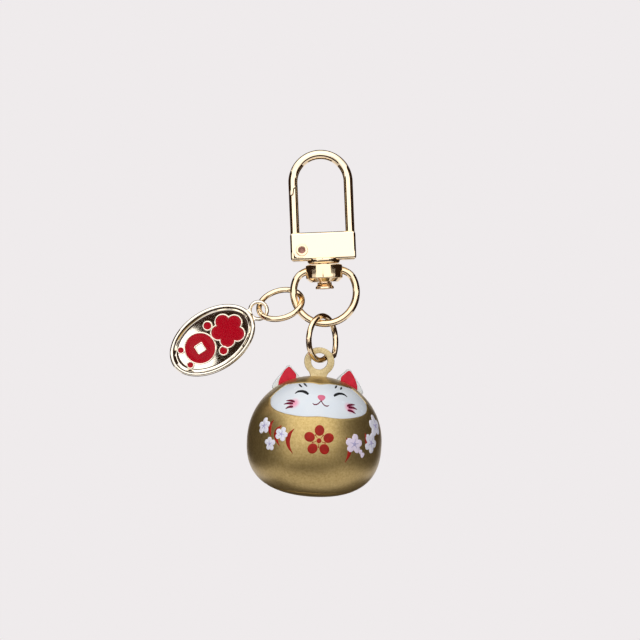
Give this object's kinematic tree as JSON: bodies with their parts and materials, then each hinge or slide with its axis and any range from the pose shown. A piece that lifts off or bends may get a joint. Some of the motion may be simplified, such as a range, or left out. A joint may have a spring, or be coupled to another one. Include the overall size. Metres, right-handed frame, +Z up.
{
  "type": "lucky cat daruma bell charm keychain",
  "caption": "Swivel snap hook keychain carrying a round gold cat-faced daruma bell doll and an oval red enamel tag, each on a jump ring.",
  "frame": {"origin": "inside top of the snap hook's bow, where the keychain hangs", "axes": "+Z up along the hook, +X to the right seen from the front, front at -Y"},
  "size_m": [0.0416, 0.0268, 0.0689],
  "materials": {
    "hardware_gold": "mirror-polished pale gold plating",
    "spring_steel": "bright spring wire",
    "doll_gold": "satin metallic gold paint",
    "white_enamel": "glossy cool white paint",
    "ear_red": "glossy red paint",
    "pellet_steel": "tumbled steel",
    "tag_red": "glossy red enamel"
  },
  "bodies": {
    "hook": {"hook_frame": "hardware_gold", "gate_pin": "hardware_gold", "gate_spring": "spring_steel", "swivel_rivet": "hardware_gold"},
    "gate": {"gate": "hardware_gold"},
    "swivel": {"swivel_ring": "hardware_gold"},
    "doll_link": {"doll_jump_ring": "hardware_gold"},
    "doll": {"bell_shell": "doll_gold", "bell_base": "doll_gold", "eyelet": "doll_gold", "left_ear": "white_enamel", "right_ear": "white_enamel", "inner_ears": "ear_red", "face_enamel": "white_enamel"},
    "pellet": {"pellet": "pellet_steel"},
    "tag_link": {"tag_jump_ring": "hardware_gold"},
    "tag": {"tag_plate": "hardware_gold", "tag_enamel": "tag_red"}
  },
  "joints": [
    {"name": "gate_hinge", "type": "hinge", "parent": "hook", "child": "gate", "pos_m": [-0.00425, 0, -0.0182], "axis": [0, 1, 0], "range_deg": [0, 26], "stiffness_Nm_per_rad": 0.01, "springref_deg": -20.05, "deforming": ["gate_spring"]},
    {"name": "swivel_turn", "type": "hinge", "parent": "hook", "child": "swivel", "pos_m": [0, 0, -0.0266], "axis": [0, 0, 1], "continuous": true},
    {"name": "doll_link_swing", "type": "hinge", "parent": "swivel", "child": "doll_link", "pos_m": [-0.00072, 0, -0.03284], "axis": [0.9934, 0, -0.1149], "range_deg": [-40, 40]},
    {"name": "doll_swing", "type": "hinge", "parent": "doll_link", "child": "doll", "pos_m": [-0.00157, 0, -0.04014], "axis": [0.5555, 0.829, -0.0643], "range_deg": [-45, 44]},
    {"name": "pellet_slide", "type": "slide", "parent": "doll", "child": "pellet", "axis": [0.1097, 0, 0.994], "range_m": [0, 0.0153]},
    {"name": "tag_link_swing", "type": "hinge", "parent": "swivel", "child": "tag_link", "pos_m": [0, 0, -0.0266], "axis": [0, 1, 0], "range_deg": [-17, 22]},
    {"name": "tag_swing", "type": "hinge", "parent": "tag_link", "child": "tag", "pos_m": [-0.01329, 0, -0.02967], "axis": [-0.1322, 0.809, 0.5727], "range_deg": [-25, 45]}
  ]
}
